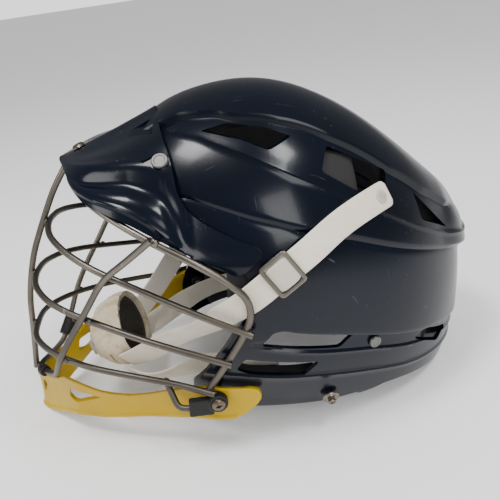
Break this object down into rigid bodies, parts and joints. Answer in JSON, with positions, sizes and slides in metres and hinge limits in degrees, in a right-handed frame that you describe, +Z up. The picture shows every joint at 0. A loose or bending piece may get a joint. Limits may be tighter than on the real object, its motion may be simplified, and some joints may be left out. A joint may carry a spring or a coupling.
{
  "type": "lacrosse helmet",
  "caption": "Vented hard-shell lacrosse helmet with a peaked visor, welded wire face cage, plastic chin guard, foam liner and a webbing-slung chin cup.",
  "frame": {"origin": "centre of the bounding box at the surface the helmet rests on, under its chin guard and nape", "axes": "+X the wearer's left, +Y towards the back of the head, +Z up, with the helmet standing as it rests by itself"},
  "size_m": [0.2392, 0.3814, 0.2487],
  "materials": {
    "shell_navy": "gloss with light scratches",
    "cage_steel": "burnished bare wire",
    "guard_yellow": "gloss",
    "foam_black": "matt moulded foam",
    "webbing_white": "woven",
    "buckle_steel": "dull plated",
    "clip_black": "moulded",
    "screw_steel": "worn plating",
    "cup_cream": "soft moulded, stained",
    "cup_mesh": "dark mesh",
    "cradle_grey": "moulded"
  },
  "bodies": {
    "helmet": {"shell": "shell_navy", "visor": "shell_navy", "cage_upper_bar": "cage_steel", "cage_middle_bar": "cage_steel", "cage_lower_bar": "cage_steel", "cage_rim": "cage_steel", "cage_side_loop": "cage_steel", "cage_centre_bar": "cage_steel", "cage_hook_left": "cage_steel", "cage_hook_right": "cage_steel", "chin_guard": "guard_yellow", "forehead_pad": "foam_black", "crown_pad": "foam_black", "back_pad": "foam_black", "side_pad_left": "foam_black", "side_pad_right": "foam_black", "jaw_pad_left": "foam_black", "jaw_pad_right": "foam_black", "upper_strap_left": "webbing_white", "upper_strap_right": "webbing_white", "lower_strap_left": "webbing_white", "lower_strap_right": "webbing_white", "jaw_clip_left": "clip_black", "jaw_clip_right": "clip_black", "chin_clip": "clip_black", "cheek_clip": "clip_black", "jaw_nuts": "clip_black", "visor_centre_screw": "screw_steel", "visor_side_snaps": "screw_steel", "jaw_screws": "screw_steel", "cheek_clip_screw": "screw_steel", "lower_strap_studs": "screw_steel", "shell_rivets": "screw_steel", "upper_strap_snaps": "cup_cream"},
    "chin_cup_body": {"chin_cup": "cup_cream", "chin_cup_liner": "cup_mesh", "chin_cup_snap": "cup_mesh"},
    "slide_left": {"buckle_left": "buckle_steel"},
    "slide_right": {"buckle_right": "buckle_steel"},
    "rear_fit": {"fit_cradle": "cradle_grey", "fit_tab_left": "cradle_grey", "fit_tab_right": "cradle_grey"}
  },
  "joints": [
    {"name": "chin_cup_tilt", "type": "hinge", "parent": "helmet", "child": "chin_cup_body", "pos_m": [0, -0.08367, 0.06235], "axis": [1, 0, 0], "range_deg": [-10, 10]},
    {"name": "buckle_slide_left", "type": "slide", "parent": "helmet", "child": "slide_left", "axis": [0.0759, -0.861, -0.5029], "range_m": [-0.01, 0.004]},
    {"name": "buckle_slide_right", "type": "slide", "parent": "helmet", "child": "slide_right", "axis": [-0.0759, -0.861, -0.5029], "range_m": [-0.01, 0.004]},
    {"name": "rear_fit_slide", "type": "slide", "parent": "helmet", "child": "rear_fit", "axis": [0, -0.993, 0.1184], "range_m": [0, 0.012]}
  ]
}
